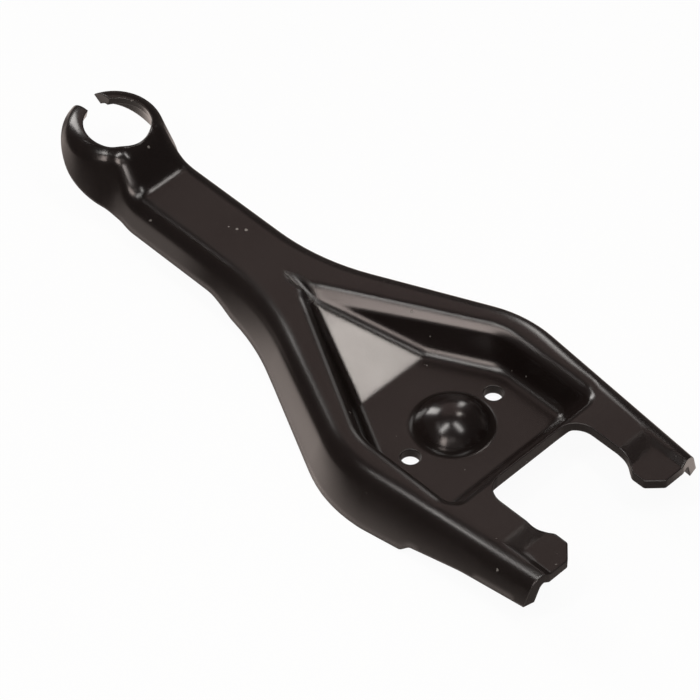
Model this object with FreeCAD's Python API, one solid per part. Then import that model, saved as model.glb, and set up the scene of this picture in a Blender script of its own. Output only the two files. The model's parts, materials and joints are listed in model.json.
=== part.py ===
import FreeCAD, Part
import math
import os

os.makedirs("parts", exist_ok=True)

# All sizes in millimetres. The frame sits at the pivot: the origin is on the upper face of the
# web under the middle of the ball seat, +X runs to the prong tips and +Z is up.

# ---- sheet and folds -------------------------------------------------------------------------
sheet = 3.0
fold_radius = 6.0
splay = 17.0

# ---- heights of upper faces ------------------------------------------------------------------
rim_z = 12.0
turret_z = 22.5

# ---- plan outline, taken at the height of the rim ----------------------------------------------
hip_width = 35.6
taper_angle = 5.3
flare_width = 39.6
flare_angle = 25.1
arm_width = 10.6
hip_radius = 35.0
flare_radius = 70.0
neck_radius = 14.0
ring_x = -132.5
ring_radius = 16.2

# ---- rise from the arm to the turret -----------------------------------------------------------
rise_x = -113.0
rise_angle = 35.0
rise_foot_radius = 4.0
rise_lip_radius = 7.0

# ---- pan pressed into the fork: widths at its floor, drafts measured from upright ----------------
ramp_foot_x = -22.3
ramp_foot_width = 27.4
ramp_angle = 15.2
pan_flare_angle = 28.2
pan_flare_draft = 22.0
pan_width = 48.4
pan_draft = 11.5
pan_end_x = 19.4
pan_end_draft = 33.0
crest_radius = 4.0
foot_radius = 3.0
groove_radius = 2.5
knee_radius = 14.0
pan_corner_radius = 3.4
crease_tip_x = -64.0
crease_end_x = -53.5
crease_angle = 18.7
crease_radius = 1.4

# ---- ball seat and retainer holes -----------------------------------------------------------------
seat_radius = 11.6
seat_height = 6.8
seat_blend = 3.0
hole_spacing = 32.0
hole_diameter = 5.4

# ---- prongs, pads and the gap between them --------------------------------------------------------
gap_base_x = 27.7
gap_width = 35.3
gap_corner_radius = 6.5
pad_width = 29.5
pad_start_x = 46.8
pad_full_x = 51.0
pad_chamfer_x = 55.4
pad_front_x = 59.3
pad_front_width = 37.7
pad_side_width = 51.6
prong_front_x = 57.3
pad_step = 1.3
pad_ramp_x = 43.6
pad_flat_x = 49.5
pad_flat_width = 50.0
pad_side_run = 2.5

# ---- ring at the end of the arm --------------------------------------------------------------------
opening_x = -130.5
opening_radius = 9.5
opening_flare = 15.0
slot_width = 7.4
slot_shift = 1.0

# ---- lower edge of the flanges, seen from the side: x, z and corner radius ----------------------------
lower_edge = [
    (-160.0, 30.0, 0),
    (-134.0, 11.8, 30),
    (-118.0, 3.6, 12),
    (-112.0, 2.1, 12),
    (-79.0, 1.9, 12),
    (-70.0, -0.8, 12),
    (-44.0, -1.9, 60),
    (-10.0, -4.0, 40),
    (5.0, -4.6, 20),
    (18.3, -3.5, 2),
    (20.8, -1.2, 2),
    (37.0, 1.2, 40),
    (90.0, 4.2, 0),
]

# ---- working limits, outside the part -------------------------------------------------------------
front_x = 80.0
low_z = -14.0
high_z = 26.0
far = 200.0


def unit(angle):
    """Unit vector in plan, angle in degrees from +X."""
    a = math.radians(angle)
    return math.cos(a), math.sin(a)


def moved(point, direction, distance):
    return point[0] + direction[0] * distance, point[1] + direction[1] * distance


def plan_chain():
    """Half outline as (kind, point, outward angle) steps from the front to the rear."""
    taper = math.tan(math.radians(taper_angle))
    flare = math.tan(math.radians(flare_angle))
    hip_x = (hip_width - flare_width) / (flare + taper)
    hip = (hip_x, hip_width - taper * hip_x)
    bend = ((arm_width - flare_width) / flare, arm_width)
    hip_reach = hip_radius * math.tan(math.radians((flare_angle + taper_angle) / 2))
    bend_reach = flare_radius * math.tan(math.radians(flare_angle / 2))
    along_taper = unit(-taper_angle)
    along_flare = unit(flare_angle)
    neck_x = ring_x + math.sqrt((ring_radius + neck_radius) ** 2 - (arm_width + neck_radius) ** 2)
    neck_angle = math.degrees(math.atan2(arm_width + neck_radius, neck_x - ring_x))
    taper_out = 90 - taper_angle
    flare_out = 90 + flare_angle
    steps = []
    steps.append(("start", (front_x, hip_width - taper * front_x), taper_out))
    steps.append(("line", moved(hip, along_taper, hip_reach), taper_out))
    steps.append(("arc", moved(hip, along_flare, -hip_reach), flare_out))
    steps.append(("line", moved(bend, along_flare, bend_reach), flare_out))
    steps.append(("arc", (bend[0] - bend_reach, arm_width), 90))
    steps.append(("line", (neck_x, arm_width), 90))
    steps.append(("arc", moved((ring_x, 0), unit(neck_angle), ring_radius), neck_angle))
    steps.append(("ring", (ring_x - ring_radius, 0), 180))
    return steps, (hip, hip_reach), (bend, bend_reach), (neck_x, neck_angle)


def plan_wire(out, z):
    """Closed outline, moved outward by 'out' and set at height z."""
    steps, hip, bend, neck = plan_chain()
    taper_out = 90 - taper_angle
    flare_out = 90 + flare_angle
    hip_c = moved(steps[1][1], unit(taper_out), -hip_radius)
    bend_c = moved(steps[4][1], unit(90), flare_radius)
    neck_c = (neck[0], arm_width + neck_radius)
    mids = [None] * 8
    mids[2] = moved(hip_c, unit((taper_out + flare_out) / 2), hip_radius + out)
    mids[4] = moved(bend_c, unit((90 + flare_out) / 2), -(flare_radius - out))
    mids[6] = moved(neck_c, unit((90 + neck[1]) / 2), -(neck_radius - out))
    mids[7] = moved((ring_x, 0), unit((neck[1] + 180) / 2), ring_radius + out)
    points = [moved(p, unit(a), out) for _, p, a in steps]
    edges = []
    for side in (1, -1):
        for i in range(1, 8):
            a = FreeCAD.Vector(points[i - 1][0], side * points[i - 1][1], z)
            b = FreeCAD.Vector(points[i][0], side * points[i][1], z)
            if mids[i] is None:
                edge = Part.makeLine(a, b)
            else:
                m = FreeCAD.Vector(mids[i][0], side * mids[i][1], z)
                edge = Part.Arc(a, m, b).toShape()
            edges.append(edge)
    a = FreeCAD.Vector(points[0][0], points[0][1], z)
    b = FreeCAD.Vector(points[0][0], -points[0][1], z)
    edges.append(Part.makeLine(a, b))
    return Part.Wire(Part.__sortEdges__(edges))


def side_profile(depth):
    """Upper profile seen from the side, moved down into the metal by 'depth', as a closed face."""
    foot_r = rise_foot_radius + depth
    lip_r = rise_lip_radius - depth
    half = math.radians((90 - rise_angle) / 2)
    shift = depth * math.tan(half)
    rise = math.tan(math.radians(rise_angle))
    foot = (rise_x - shift, rim_z - depth)
    top_x = rise_x - (turret_z - rim_z) * rise
    lip = (top_x - shift, turret_z - depth)
    slope = (-math.sin(math.radians(rise_angle)), math.cos(math.radians(rise_angle)))
    foot_reach = foot_r * math.tan(half)
    lip_reach = lip_r * math.tan(half)
    a = (foot[0] + foot_reach, foot[1])
    b = moved(foot, slope, foot_reach)
    c = moved(lip, slope, -lip_reach)
    d = (lip[0] - lip_reach, lip[1])
    turn = math.radians(90 - rise_angle) / 2
    foot_m = (a[0] - foot_r * math.sin(turn), a[1] + foot_r * (1 - math.cos(turn)))
    lip_m = (d[0] + lip_r * math.sin(turn), d[1] - lip_r * (1 - math.cos(turn)))

    def v(p):
        return FreeCAD.Vector(p[0], -far / 2, p[1])

    rear_x = ring_x - 2 * ring_radius
    edges = [
        Part.makeLine(v((front_x, foot[1])), v(a)),
        Part.Arc(v(a), v(foot_m), v(b)).toShape(),
        Part.makeLine(v(b), v(c)),
        Part.Arc(v(c), v(lip_m), v(d)).toShape(),
        Part.makeLine(v(d), v((rear_x, lip[1]))),
        Part.makeLine(v((rear_x, lip[1])), v((rear_x, low_z))),
        Part.makeLine(v((rear_x, low_z)), v((front_x, low_z))),
        Part.makeLine(v((front_x, low_z)), v((front_x, foot[1]))),
    ]
    face = Part.Face(Part.Wire(edges))
    return face.extrude(FreeCAD.Vector(0, far, 0))


def body(depth):
    """Solid inside the pressed skin, 'depth' below its outer face."""
    spread = math.tan(math.radians(splay))
    inset = depth / math.cos(math.radians(splay))
    low = plan_wire((rim_z - low_z) * spread - inset, low_z)
    high = plan_wire((rim_z - high_z) * spread - inset, high_z)
    walls = Part.makeLoft([low, high], True, True)
    block = walls.common(side_profile(depth))
    return block


def upper_edges(solid, depth):
    """Edges between the upper faces and the outer walls."""
    picked = []
    for edge in solid.Edges:
        box = edge.BoundBox
        if box.ZMin < rim_z - depth - 0.01 or box.XMin > front_x - 0.01:
            continue
        if box.XLength < 0.01:
            continue
        picked.append(edge)
    return picked


def rounded(points, closed=True):
    """Straight edges through (x, y, radius) corners, each corner rounded; in the plane z = 0."""
    count = len(points)
    ends = []
    arcs = []
    for i in range(count):
        x, y, r = points[i]
        here = FreeCAD.Vector(x, y, 0)
        if r == 0:
            ends.append((here, here))
            arcs.append(None)
            continue
        before = FreeCAD.Vector(points[i - 1][0], points[i - 1][1], 0) - here
        after = FreeCAD.Vector(points[(i + 1) % count][0], points[(i + 1) % count][1], 0) - here
        before.normalize()
        after.normalize()
        half = before.getAngle(after) / 2
        reach = r / math.tan(half)
        middle = before + after
        middle.normalize()
        ends.append((here + before * reach, here + after * reach))
        arcs.append(here + middle * (r / math.sin(half) - r))
    edges = []
    for i in range(count):
        if arcs[i] is not None:
            edges.append(Part.Arc(ends[i][0], arcs[i], ends[i][1]).toShape())
        a = ends[i][1]
        b = ends[(i + 1) % count][0]
        if a.distanceToPoint(b) > 1e-6:
            edges.append(Part.makeLine(a, b))
    return Part.Wire(edges)


def samples(edge):
    """Five points along an edge."""
    first = edge.FirstParameter
    step = (edge.LastParameter - first) / 4
    return [edge.valueAt(first + step * i) for i in range(5)]


def beyond(point, heading, draft, depth):
    """Block outside a sloped plane: heading is its outward plan angle, moved out by 'depth'."""
    block = Part.makeBox(far, 2 * far, 2 * far, FreeCAD.Vector(depth, -far, -far))
    block.rotate(FreeCAD.Vector(0, 0, 0), FreeCAD.Vector(0, 1, 0), draft)
    block.rotate(FreeCAD.Vector(0, 0, 0), FreeCAD.Vector(0, 0, 1), heading)
    block.translate(FreeCAD.Vector(*point))
    return block


def falls_to(edge, level):
    """Foot of an edge that comes down from the level plane, or None."""
    points = samples(edge)
    if max(p.z for p in points) < level - 0.01 or min(p.z for p in points) > level - 0.01:
        return None
    return points[0] if points[0].z < points[4].z else points[4]


def pan(depth):
    """Pressed pan as a solid, grown by 'depth' into the metal."""
    block = Part.makeBox(2 * far, far, high_z + depth, FreeCAD.Vector(-far, -far / 2, -depth))
    block = block.cut(beyond((ramp_foot_x, 0, 0), 180, 90 - ramp_angle, depth))
    block = block.cut(beyond((pan_end_x, 0, 0), 0, pan_end_draft, depth))
    for side in (-1, 1):
        corner = (ramp_foot_x, side * ramp_foot_width / 2, 0)
        block = block.cut(beyond(corner, side * (90 + pan_flare_angle), pan_flare_draft, depth))
        block = block.cut(beyond((0, side * pan_width / 2, 0), side * 90, pan_draft, depth))
    # corners at the wide end
    picked = []
    for edge in block.Edges:
        low = falls_to(edge, high_z)
        if low is not None and low.x > 0:
            picked.append(edge)
    block = block.makeFillet(pan_corner_radius + depth, picked)
    # knees where the walls turn parallel
    picked = []
    for edge in block.Edges:
        low = falls_to(edge, high_z)
        if low is not None and ramp_foot_x < low.x < 0 and low.z < 0.01 - depth:
            picked.append(edge)
    block = block.makeFillet(knee_radius + depth, picked)
    # groove where the two flared walls meet
    picked = []
    for edge in block.Edges:
        points = samples(edge)
        if max(abs(p.y) for p in points) < 0.01 and points[0].z != points[4].z:
            picked.append(edge)
    block = block.makeFillet(groove_radius + depth, picked)
    # foot all round the floor and the ramp, but not the crease between those two
    picked = []
    for edge in block.Edges:
        points = samples(edge)
        if max(p.z for p in points) > rim_z:
            continue
        crease = abs(points[0].x - points[4].x) < 0.01 and points[0].x < 0
        if not crease:
            picked.append(edge)
    return block.makeFillet(foot_radius + depth, picked)


def pad_recess(depth):
    """Step pressed down at the prong ends, grown by 'depth' into the metal."""
    run = (pad_flat_x - pad_ramp_x) / pad_step
    side_run = pad_side_run / pad_step
    floor_z = rim_z - pad_step
    loops = []
    for z in (floor_z - depth, high_z):
        rise = z - floor_z
        x = pad_flat_x - run * rise - depth * math.sqrt(1 + run * run)
        y = pad_flat_width / 2 + side_run * rise + depth * math.sqrt(1 + side_run * side_run)
        corners = [(x, -y), (front_x, -y), (front_x, y), (x, y), (x, -y)]
        loops.append(Part.makePolygon([FreeCAD.Vector(p, q, z) for p, q in corners]))
    return Part.makeLoft(loops, True, True)


def crease(depth):
    """Round-bottomed crease that runs out of the narrow end of the pan, grown by 'depth'."""
    angle = math.radians(crease_angle)
    run = fold_radius + sheet
    length = (crease_end_x - crease_tip_x) / math.cos(angle)
    along = FreeCAD.Vector(math.cos(angle), 0, -math.sin(angle))
    above = FreeCAD.Vector(math.sin(angle), 0, math.cos(angle))
    tip = FreeCAD.Vector(crease_tip_x, 0, rim_z) + above * crease_radius
    radius = crease_radius + depth
    rod = Part.makeCylinder(radius, run + length, tip - along * run, along)
    return rod.fuse(Part.makeSphere(radius, tip + along * length))


def crest_edges(solid, depth, cutter):
    """Edges where the pan walls meet the rim."""
    picked = []
    for edge in solid.Edges:
        points = samples(edge)
        if max(abs(p.z - rim_z + depth) for p in points) > 0.02:
            continue
        touching = cutter.distToShape(Part.Vertex(points[2]))[0] < 0.001
        if touching and not cutter.isInside(points[2], 0.001, False):
            picked.append(edge)
    return picked


def foot_of_dome(solid, radius, z):
    """Edges of the circle in which a ball of this radius leaves the level z."""
    reach = math.sqrt(radius * radius - (z - seat_height + seat_radius) ** 2)
    picked = []
    for edge in solid.Edges:
        points = samples(edge)
        level = max(abs(p.z - z) for p in points) < 0.01
        if level and max(abs(math.hypot(p.x, p.y) - reach) for p in points) < 0.01:
            picked.append(edge)
    return picked


def skin(depth):
    """Solid below the pressed surface that lies 'depth' inside the metal."""
    block = body(depth)
    block = block.makeFillet(fold_radius - depth, upper_edges(block, depth))
    cutter = pan(depth)
    block = block.cut(cutter).Solids[0]
    block = block.makeFillet(crest_radius - depth, crest_edges(block, depth, cutter))
    ball = Part.makeSphere(seat_radius - depth, FreeCAD.Vector(0, 0, seat_height - seat_radius))
    block = block.fuse(ball).Solids[0]
    foot = foot_of_dome(block, seat_radius - depth, -depth)
    block = block.makeFillet(seat_blend + depth, foot)
    block = block.cut(crease(depth))
    return block.cut(pad_recess(depth))


def upright_block(corners, bottom, top):
    """Block with this rounded outline in plan."""
    block = Part.Face(rounded(corners)).extrude(FreeCAD.Vector(0, 0, top - bottom))
    block.translate(FreeCAD.Vector(0, 0, bottom))
    return block


def waste_below():
    """Everything under the lower edge of the flanges, right across the fork."""
    corners = lower_edge + [(lower_edge[-1][0], -far, 0), (lower_edge[0][0], -far, 0)]
    block = upright_block(corners, -far / 2, far / 2)
    block.rotate(FreeCAD.Vector(0, 0, 0), FreeCAD.Vector(1, 0, 0), 90)
    return block


def waste_in_front():
    """Gap between the prongs and everything in front of the pads and flanges."""
    half = [
        (gap_base_x, gap_width / 2, gap_corner_radius),
        (pad_start_x, gap_width / 2, 6.0),
        (pad_full_x, pad_width / 2, 2.0),
        (pad_chamfer_x, pad_width / 2, 1.2),
        (pad_front_x, pad_front_width / 2, 1.2),
        (pad_front_x, pad_side_width / 2, 3.0),
        (prong_front_x, hip_width - sheet / 2, 0),
        (prong_front_x, far, 0),
        (far, far, 0),
    ]
    other = [(x, -y, r) for x, y, r in reversed(half)]
    return upright_block(half + other, low_z, high_z)


def ring_waste():
    """Opening of the ring, flared downward, and the slot that leads into it."""
    deep = turret_z - low_z
    wide = opening_radius + deep * math.tan(math.radians(opening_flare))
    hole = Part.makeCone(wide, opening_radius, deep, FreeCAD.Vector(opening_x, 0, turret_z - deep))
    above = Part.makeCylinder(opening_radius, high_z, FreeCAD.Vector(opening_x, 0, turret_z))
    slot = Part.makeBox(far, slot_width, high_z - low_z)
    slot.translate(FreeCAD.Vector(opening_x - far, slot_shift - slot_width / 2, low_z))
    return hole.fuse(above).fuse(slot)


fork = skin(0).cut(skin(sheet))
fork = fork.cut(waste_below())
fork = fork.cut(waste_in_front())
fork = fork.cut(ring_waste())
for side in (-1, 1):
    foot = FreeCAD.Vector(0, side * hole_spacing / 2, low_z)
    fork = fork.cut(Part.makeCylinder(hole_diameter / 2, high_z - low_z, foot))
fork = fork.Solids[0]
fork.exportStep("parts/fork.step")
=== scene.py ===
import bpy
import json
import math
from mathutils import Matrix, Vector


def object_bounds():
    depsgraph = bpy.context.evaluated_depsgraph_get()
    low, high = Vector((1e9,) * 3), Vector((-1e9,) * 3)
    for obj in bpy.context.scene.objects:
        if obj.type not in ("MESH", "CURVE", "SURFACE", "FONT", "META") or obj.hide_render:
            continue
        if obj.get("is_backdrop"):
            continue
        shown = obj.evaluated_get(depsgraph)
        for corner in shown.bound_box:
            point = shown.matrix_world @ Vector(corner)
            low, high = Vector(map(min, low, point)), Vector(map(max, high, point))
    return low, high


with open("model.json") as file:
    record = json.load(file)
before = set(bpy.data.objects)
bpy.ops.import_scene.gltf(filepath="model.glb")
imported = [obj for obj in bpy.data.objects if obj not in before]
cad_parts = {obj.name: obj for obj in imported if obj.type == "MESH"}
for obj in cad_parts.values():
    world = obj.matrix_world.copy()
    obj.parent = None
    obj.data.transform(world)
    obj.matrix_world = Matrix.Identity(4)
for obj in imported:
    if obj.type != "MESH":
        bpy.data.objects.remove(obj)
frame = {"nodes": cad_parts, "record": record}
low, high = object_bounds()
scene = bpy.context.scene
mounts = {mount["name"]: mount for mount in frame["record"]["mounts"]}


# ---- places on the fork, in metres from the middle of the ball seat -----------------------------
HOLE_Y = mounts["retainer_holes"]["dims"]["spacing_y_mm"] / 2000.0

# pressed bends lie between the turret and the end of the pan, clear of the holes and the ball seat
TURRET_X = -0.119
PAN_END_X = 0.024
BEND_FADE = 0.003
HOLE_EDGE = 0.0045
SEAT_EDGE = 0.0140
EDGE_FADE = 0.0015

# creases of the stepped pads
PAD_CREASE_X = 0.0405
PAD_END_X = mounts["pad_left"]["pos_m"][0]
PAD_INNER_Y = 0.0185
PAD_FADE = 0.002

# narrow ring at the foot of the ball seat, where shade is painted
SEAT_FOOT_INSIDE = 0.0094
SEAT_FOOT_INSIDE_FADE = 0.0008
SEAT_FOOT_OUTSIDE = 0.0124
SEAT_FOOT_OUTSIDE_FADE = 0.0010

# near wall of the pan, where shade is painted: where it begins, and how far its face must turn
# towards the far side
NEAR_WALL_Y = -0.004
NEAR_WALL_FADE = 0.003
NEAR_WALL_FACING = 0.05
NEAR_WALL_FACING_FADE = 1.0 / 6.0

# upper part of the far wall of the pan, which starts higher towards the prongs
FAR_WALL_START_X = -0.060
FAR_WALL_START_FADE = 0.006
FAR_WALL_END_X = 0.016
FAR_WALL_END_FADE = 0.020
FAR_WALL_FIRST_Y = 0.0
FAR_WALL_FIRST_FADE = 0.003
FAR_WALL_LAST_Y = 0.0335
FAR_WALL_LAST_FADE = 0.002
FAR_WALL_FACING = -0.38
FAR_WALL_FACING_FADE = 0.2
LEAN_X = -0.05
LEAN_Z = 0.0068
LEAN_SLOPE = 0.05
LEAN_FADE = 0.0022
LEAN_NORMAL = (0.362, -0.675, 0.643)
LEAN_SHARE = 0.85

# bare spots where the paint is chipped: their middles and radii
PAINT_CHIPS = (
    ((-0.0845, 0.0018, 0.0120), 0.00045),
    ((-0.0825, 0.0033, 0.0120), 0.00050),
    ((-0.0868, 0.0008, 0.0120), 0.00025),
    ((-0.0064, -0.0386, 0.0041), 0.00045),
    ((-0.0008, -0.0349, 0.0118), 0.00035),
    ((0.0103, -0.0340, 0.0112), 0.00030),
    ((0.0269, -0.0320, 0.0116), 0.00030),
)

# ---- sizes and colours of the finishes -----------------------------------------------------------
CUT_EDGE_RADIUS = 0.0007
PRESSED_BEND_RADIUS = 0.0028
PAINT_RELIEF = 0.00004
PAINT_ROUGHNESS = 0.21

BLACK = (0.0100, 0.0064, 0.0057, 1.0)
GREY_FILM = (0.36, 0.31, 0.28, 1.0)
PALE_DUST = (0.55, 0.52, 0.48, 1.0)
# matt black mixed in as painted shade
SHADE_BLACK = (0.012, 0.009, 0.008, 1.0)
FLOOR_WHITE = (0.9, 0.9, 0.9, 1.0)
WHITE = (1.0, 1.0, 1.0, 1.0)
WARM_WHITE = (1.0, 0.86, 0.79, 1.0)

# patterns in the paint: their scale, detail and roughness
CLOUDS = (38.0, 4.0, 0.6)
GRAIN = (900.0, 3.0, 0.6)
SPECKS = (420.0, 2.0, 0.5)
SPECK_PATCHES = (60.0, 2.0, 0.5)
ORANGE_PEEL = (260.0, 2.0, 0.5)

# the floor as the paint mirrors it, with painted light: dim all round, and glowing bright in a
# strip along the fork
FLOOR_DIM = 0.10
FLOOR_BRIGHT = 1.55
ARM_HALF_WIDTH = 0.0165
HIP_HALF_WIDTH = high[1]
STRIP_WIDTH = 0.019
STRIP_WIDER = 0.036
STRIP_FADE = 0.016

# a Mix node's two inputs and its output, for vectors and for colours
MIX_SOCKETS = {"VECTOR": (4, 5, 1), "RGBA": (6, 7, 2)}


# ---- node helpers --------------------------------------------------------------------------------
class Socket:
    """An output of a node. Sums on it add their own Math nodes."""

    def __init__(self, finish, out):
        self.finish = finish
        self.out = out

    def maths(self, kind, *values, clamp=False):
        settings = {"operation": kind, "use_clamp": clamp}
        return self.finish.node("ShaderNodeMath", settings, dict(enumerate(values)))

    def __add__(self, other):
        return self.maths("ADD", self, other)

    def __radd__(self, other):
        return self.maths("ADD", other, self)

    def __sub__(self, other):
        return self.maths("SUBTRACT", self, other)

    def __rsub__(self, other):
        return self.maths("SUBTRACT", other, self)

    def __mul__(self, other):
        return self.maths("MULTIPLY", self, other)

    def __rmul__(self, other):
        return self.maths("MULTIPLY", other, self)

    def __truediv__(self, other):
        return self.maths("DIVIDE", self, other)

    def __rtruediv__(self, other):
        return self.maths("DIVIDE", other, self)

    def __pow__(self, other):
        return self.maths("POWER", self, other)

    def __rpow__(self, other):
        return self.maths("POWER", other, self)

    def __abs__(self):
        return self.maths("ABSOLUTE", self)

    def clamped(self):
        return self.maths("ADD", self, 0.0, clamp=True)


class Finish:
    """A material and the tree of its nodes."""

    def __init__(self, name):
        self.material = bpy.data.materials.new(name)
        self.material.use_nodes = True
        self.tree = self.material.node_tree
        self.tree.nodes.clear()

    def node(self, kind, settings=None, values=None, out=0):
        """Adds a node, sets its settings and then its inputs, and returns one output or several."""
        node = self.tree.nodes.new(kind)
        for key, value in (settings or {}).items():
            setattr(node, key, value)
        for key, value in (values or {}).items():
            if isinstance(value, Socket):
                self.tree.links.new(value.out, node.inputs[key])
            else:
                node.inputs[key].default_value = value
        if not node.outputs:
            return node
        if isinstance(out, tuple):
            return [Socket(self, node.outputs[key]) for key in out]
        return Socket(self, node.outputs[out])

    def position(self):
        """Object coordinates, and each of their three parts."""
        place = self.node("ShaderNodeTexCoord", out="Object")
        return place, *self.node("ShaderNodeSeparateXYZ", values={0: place}, out=(0, 1, 2))

    def noise(self, place, pattern):
        scale, detail, rough = pattern
        values = {"Vector": place, "Scale": scale, "Detail": detail, "Roughness": rough}
        return self.node("ShaderNodeTexNoise", values=values)

    def bevel(self, radius, samples):
        return self.node("ShaderNodeBevel", {"samples": samples}, {"Radius": radius})

    def vector_maths(self, kind, first, second):
        """A number from two vectors, such as their distance."""
        return self.node("ShaderNodeVectorMath", {"operation": kind}, {0: first, 1: second}, out=1)

    def mix(self, kind, share, first, second):
        """The first vector or colour where share is 0, and the second where it is 1."""
        a, b, out = MIX_SOCKETS[kind]
        return self.node("ShaderNodeMix", {"data_type": kind}, {0: share, a: first, b: second}, out)

    def mix_shaders(self, share, first, second):
        return self.node("ShaderNodeMixShader", values={0: share, 1: first, 2: second})

    def matt(self, colour):
        return self.node("ShaderNodeBsdfDiffuse", values={"Color": colour})

    def glow(self, colour, strength):
        return self.node("ShaderNodeEmission", values={"Color": colour, "Strength": strength})

    def surface(self, shader):
        """Puts the shader on the surface and returns the finished material."""
        self.node("ShaderNodeOutputMaterial", values={"Surface": shader})
        return self.material


def rise(value, start, width):
    """0 up to the start, and 1 from one width above it."""
    return ((value - start) / width).clamped()


def fall(value, end, width):
    """1 up to one width below the end, and 0 from the end on."""
    return ((end - value) / width).clamped()


def hypotenuse(a, b):
    return (a ** 2.0 + b ** 2.0) ** 0.5


# ---- finishes ------------------------------------------------------------------------------------
def where_bends_are_pressed(x, y, from_seat):
    """1 on the wide bends of the sheet and the creases of the pads, 0 at cut edges and holes."""
    from_hole = hypotenuse(x, abs(y) - HOLE_Y)
    bends = fall(x, PAN_END_X, BEND_FADE) * rise(x, TURRET_X, BEND_FADE)
    bends = bends * rise(from_hole, HOLE_EDGE, EDGE_FADE)
    bends = bends * rise(from_seat, SEAT_EDGE, EDGE_FADE)
    pads = rise(x, PAD_CREASE_X, PAD_FADE) * fall(x, PAD_END_X, PAD_FADE)
    pads = pads * rise(abs(y), PAD_INNER_Y, PAD_FADE)
    return (bends + pads).clamped()


def where_far_wall_leans(x, y, z, facing):
    """1 on the upper part of the far wall of the pan, fading towards the prongs."""
    lean = rise(z, LEAN_Z + (x - LEAN_X) * LEAN_SLOPE, LEAN_FADE)
    lean = lean * fall(facing, FAR_WALL_FACING, FAR_WALL_FACING_FADE)
    lean = lean * rise(x, FAR_WALL_START_X, FAR_WALL_START_FADE)
    lean = lean * fall(x, FAR_WALL_END_X, FAR_WALL_END_FADE)
    lean = lean * rise(y, FAR_WALL_FIRST_Y, FAR_WALL_FIRST_FADE)
    return lean * fall(y, FAR_WALL_LAST_Y, FAR_WALL_LAST_FADE)


def where_shade_is_painted(y, from_seat, facing):
    """Painted shade: most at the foot of the ball seat, less on the near wall of the pan, 0
    elsewhere.
    """
    shaded_seat_foot = rise(from_seat, SEAT_FOOT_INSIDE, SEAT_FOOT_INSIDE_FADE)
    shaded_seat_foot = shaded_seat_foot * fall(from_seat, SEAT_FOOT_OUTSIDE, SEAT_FOOT_OUTSIDE_FADE)
    shaded_near_wall = rise(facing, NEAR_WALL_FACING, NEAR_WALL_FACING_FADE)
    shaded_near_wall = shaded_near_wall * fall(y, NEAR_WALL_Y, NEAR_WALL_FADE)
    return (shaded_seat_foot * 0.85 + shaded_near_wall * 0.6).clamped()


def black_paint():
    """Black gloss paint over pressed steel, with a thin film, rubbed edges, specks and chips, and
    painted shade in two hollows.
    """
    f = Finish("Black gloss paint")
    place, x, y, z = f.position()
    from_seat = hypotenuse(x, y)

    # pressed bends are wide and soft; cut edges of the sheet and the holes are only just broken
    pressed = where_bends_are_pressed(x, y, from_seat)
    cut_edges = f.bevel(CUT_EDGE_RADIUS, 8)
    bends = f.bevel(PRESSED_BEND_RADIUS, 12)
    bent = f.mix("VECTOR", pressed, cut_edges, bends)

    # the far wall of the pan leans back towards its crest, most of all at its narrow end
    facing = f.node("ShaderNodeSeparateXYZ", values={0: bent}, out="Y")
    lean = where_far_wall_leans(x, y, z, facing)
    soft = f.mix("VECTOR", lean * LEAN_SHARE, bent, LEAN_NORMAL)

    # paint is rubbed on the bends, and specked and chipped here and there
    flat = f.node("ShaderNodeNewGeometry", out="Normal")
    edge = ((1.0 - f.vector_maths("DOT_PRODUCT", soft, flat)) * 9.0).clamped()
    clouds = f.noise(place, CLOUDS)
    grain = f.noise(place, GRAIN)
    rubbed = ((edge + clouds - 0.95) * 3.0).clamped() * 0.5
    specks = ((f.noise(place, SPECKS) - 0.745) * 30.0).clamped()
    dust = specks * ((f.noise(place, SPECK_PATCHES) - 0.45) * 5.0).clamped()
    for chip, radius in PAINT_CHIPS:
        ragged = f.vector_maths("DISTANCE", place, chip) + (grain - 0.5) * radius
        dust = (dust + fall(ragged, radius, radius * 0.35) * 0.8).clamped()

    film = ((clouds - 0.42) * 0.030 + rubbed * 0.05).clamped()
    colour = f.mix("RGBA", dust * 0.55, f.mix("RGBA", film, BLACK, GREY_FILM), PALE_DUST)
    roughness = PAINT_ROUGHNESS + (clouds - 0.5) * 0.10 + rubbed * 0.25 + dust * 0.4
    height = f.noise(place, ORANGE_PEEL) * 0.6 + grain * 0.12 + dust * 0.5
    relief = f.node(
        "ShaderNodeBump",
        values={"Strength": 0.22, "Distance": PAINT_RELIEF, "Height": height, "Normal": soft},
    )
    gloss = f.node(
        "ShaderNodeBsdfPrincipled",
        values={"Base Color": colour, "Roughness": roughness.clamped(), "Normal": relief},
    )
    # painted shade: a matt black hides the gloss at the foot of the ball seat and on the near wall
    # of the pan
    painted_shade = where_shade_is_painted(y, from_seat, facing)
    return f.surface(f.mix_shaders(painted_shade, gloss, f.matt(SHADE_BLACK)))


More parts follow.
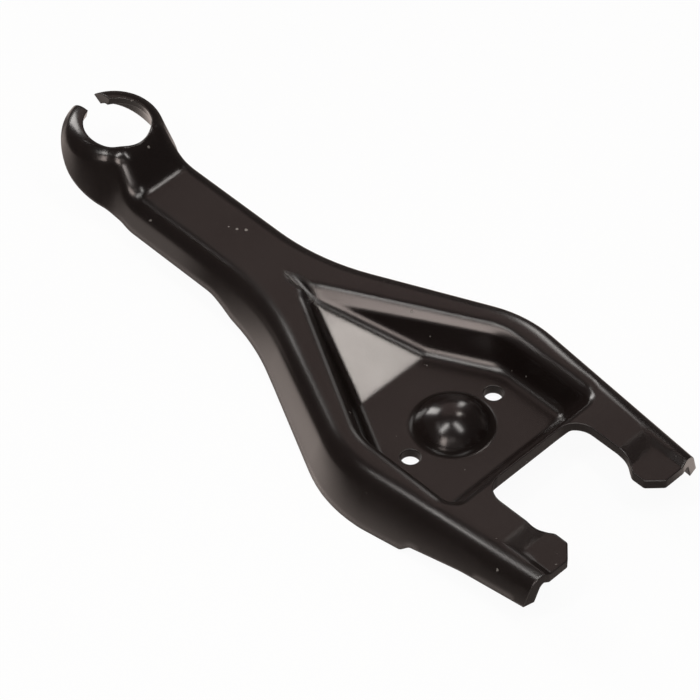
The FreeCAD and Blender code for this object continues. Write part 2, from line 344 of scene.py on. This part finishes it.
def pale_floor():
    """White floor that holds a faint shadow; the paint sees it glow as painted light, bright close
    to the fork only and with a painted shadow under it.
    """
    f = Finish("White floor")
    _, x, y, _ = f.position()

    # the fork grows wider from the arm to the hip
    half_width = ARM_HALF_WIDTH + rise(x, -0.078, 0.055) * (HIP_HALF_WIDTH - ARM_HALF_WIDTH)
    beside = abs(y) - half_width

    # the painted light strip is wider on the near side of the turret, painted dark under the fork
    # as a shadow, and brightest along the hip
    by_turret = fall(x, -0.095, 0.030) * fall(y, 0.0, 0.004)
    near = fall(beside, STRIP_WIDTH + by_turret * STRIP_WIDER, STRIP_FADE)
    painted_shadow_under = fall(beside, -0.002, 0.008)
    hip = rise(x, -0.085, 0.045) * fall(x, 0.012, 0.030)
    painted_light_strip = near * (1.0 - painted_shadow_under * 0.8) * (0.655 + hip * 0.345)

    seen, glossy = f.node("ShaderNodeLightPath", out=("Is Camera Ray", "Is Glossy Ray"))
    plain = f.mix_shaders(seen * 0.95, f.matt(FLOOR_WHITE), f.glow(WHITE, 1.0))
    dim_floor = f.glow(WARM_WHITE, FLOOR_DIM)
    bright_floor = f.glow(WARM_WHITE, FLOOR_BRIGHT)
    # painted reflection: the gloss sees the floor glow, bright in the strip and dim elsewhere
    painted_reflection = f.mix_shaders(painted_light_strip, dim_floor, bright_floor)
    return f.surface(f.mix_shaders(glossy, plain, painted_reflection))


# ---- the fork ------------------------------------------------------------------------------------
paint = black_paint()
for slot in frame["nodes"]["fork"].material_slots:
    slot.material = paint

# ---- floor ---------------------------------------------------------------------------------------
bpy.ops.object.select_all(action="DESELECT")
bpy.ops.mesh.primitive_plane_add(size=6.0, location=(0, 0, low[2]))
floor = bpy.context.object
floor.name = "floor"
floor.data.materials.append(pale_floor())
floor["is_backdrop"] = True


# ---- camera --------------------------------------------------------------------------------------
def towards(azimuth, elevation, distance, start=(0.0, 0.0, 0.0)):
    """Point at this azimuth from +X, elevation and distance from the start."""
    a = math.radians(azimuth)
    e = math.radians(elevation)
    step = Vector((math.cos(e) * math.cos(a), math.cos(e) * math.sin(a), math.sin(e)))
    return Vector(start) + step * distance


def facing_turn(direction):
    """The turn that makes a lamp or the camera, level, look this way."""
    return direction.to_track_quat("-Z", "Y")


CAMERA_PLACE = (0.4906, -0.5293, 0.8309)
CAMERA_AZIMUTH = -45.0
CAMERA_ELEVATION = 48.0
camera_data = bpy.data.cameras.new("camera")
camera_data.sensor_width = 36.0
camera_data.lens = 211.24
camera_data.clip_end = 20.0
camera = bpy.data.objects.new("camera", camera_data)
ahead = -towards(CAMERA_AZIMUTH, CAMERA_ELEVATION, 1.0)
camera.matrix_world = Matrix.LocRotScale(Vector(CAMERA_PLACE), facing_turn(ahead), None)
scene.collection.objects.link(camera)
scene.camera = camera

# ---- light ---------------------------------------------------------------------------------------
# tints of the lamps
CREAM = (1.0, 0.97, 0.94)
IVORY = (1.0, 0.93, 0.87)
BLUSH = (1.0, 0.92, 0.88)
SAND = (1.0, 0.88, 0.83)
PEACH = (1.0, 0.87, 0.81)
ROSE = (1.0, 0.77, 0.71)

# places that the lamps face
MIDDLE = (0.0, 0.0, 0.006)
RISE = (-0.111, -0.006, 0.012)
RAMP = (-0.034, 0.002, 0.003)
HIP_FOLD = (0.030, -0.033, 0.011)
CREST = (0.012, 0.028, 0.010)
NECK = (-0.108, -0.009, 0.0115)


def softbox(name, place, target, size, radiance, tint=CREAM, cone=None, diffuse=True):
    """Rectangular studio lamp of an even radiance, in a narrow cone or all round."""
    width, height = size
    data = bpy.data.lights.new(name, "AREA")
    data.shape = "RECTANGLE"
    data.size = width
    data.size_y = height
    data.color = tint
    data.energy = radiance * math.pi * width * height
    if cone:
        # a lamp gets brighter on its axis as its cone narrows, so it gets less power
        data.spread = math.radians(cone)
        data.energy *= math.tan(math.radians(cone / 2)) ** 2 / 3
    lamp = bpy.data.objects.new(name, data)
    lamp.location = place
    lamp.rotation_euler = facing_turn(Vector(target) - Vector(place)).to_euler()
    lamp.visible_camera = False
    lamp.visible_diffuse = diffuse
    scene.collection.objects.link(lamp)


def round_the_fork(name, azimuth, elevation, distance, size, radiance, **others):
    """A softbox round the middle of the fork that faces it."""
    place = towards(azimuth, elevation, distance, MIDDLE)
    softbox(name, place, MIDDLE, size, radiance, **others)


def spot(name, azimuth, elevation, fold, side, radiance, cone):
    """A small square lamp, in a narrow cone, that puts a gleam on one fold."""
    place = towards(azimuth, elevation, 0.40, fold)
    softbox(name, place, fold, (side, side), radiance, cone=cone, diffuse=False)


# name, azimuth, elevation, distance, size and radiance of the lamps that light the fork
round_the_fork("strip left front", -97, 63, 0.50, (0.085, 0.25), 12.0)
round_the_fork("strip right front", 3, 68, 0.50, (0.085, 0.26), 10.0)
round_the_fork("strip right back", 116, 27, 0.40, (0.06, 0.25), 7.5, cone=32.0)
round_the_fork("strip left back", 176, 28, 0.90, (0.22, 0.46), 9.0)
round_the_fork("backdrop", 140, 50, 1.0, (0.7, 0.8), 0.44, tint=ROSE)
round_the_fork("front wall", -40, 25, 1.4, (1.2, 0.9), 0.2, tint=SAND)

# lamps that show in the gloss only
round_the_fork("low front lamp", -72, 28, 1.0, (0.24, 0.46), 8.0, tint=PEACH, diffuse=False)
round_the_fork("camera side", -47, 40, 1.3, (0.40, 0.30), 0.9, tint=BLUSH, diffuse=False)
round_the_fork("low camera lamp", -43, 12, 1.0, (0.36, 0.22), 9.0, tint=BLUSH, diffuse=False)
softbox("rise lamp", (-0.168, 0.212, 0.402), RISE, (0.07, 0.07), 24.0, cone=14.0, diffuse=False)
softbox(
    "ramp lamp", (-0.046, 0.222, 0.395), RAMP, (0.060, 0.10), 27.0,
    tint=IVORY, cone=18.0, diffuse=False,
)
spot("hip spot", -127, 54, HIP_FOLD, 0.05, 18.0, cone=12.5)
spot("crest spot", -136, 52, CREST, 0.05, 8.0, cone=8.5)
spot("neck spot", -150, 57, NECK, 0.08, 14.0, cone=5.0)

world = bpy.data.worlds.new("studio")
scene.world = world
world.use_nodes = True
background = world.node_tree.nodes["Background"]
background.inputs["Color"].default_value = (1.0, 0.95, 0.93, 1)
background.inputs["Strength"].default_value = 0.08

scene.view_settings.view_transform = "Standard"

low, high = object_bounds()
